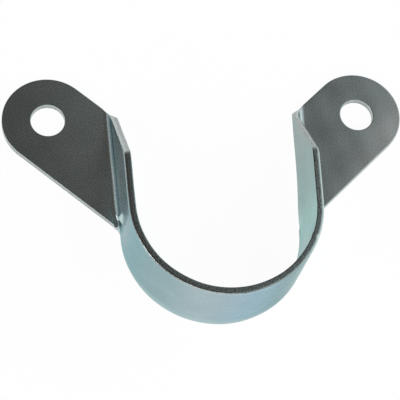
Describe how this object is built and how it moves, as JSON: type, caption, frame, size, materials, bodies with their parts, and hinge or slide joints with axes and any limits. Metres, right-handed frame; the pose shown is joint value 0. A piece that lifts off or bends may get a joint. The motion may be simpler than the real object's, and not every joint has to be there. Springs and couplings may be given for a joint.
{
  "type": "conduit strap",
  "caption": "One-piece U strap of plated steel strip that holds a conduit, with two ears folded square to its legs for screws.",
  "frame": {"origin": "on the axis of the U's round seat, in the plane of the ears' back faces", "axes": "+Z along the pipe, away from the mounting plane; +Y out of the open side of the U, between the legs; X from ear to ear"},
  "size_m": [0.0914, 0.0588, 0.02],
  "materials": {
    "plated_steel": "bright zinc plate with a clear blue passivation, rolled grain, sheared edges"
  },
  "bodies": {
    "root": {"strap": "plated_steel"}
  },
  "joints": []
}
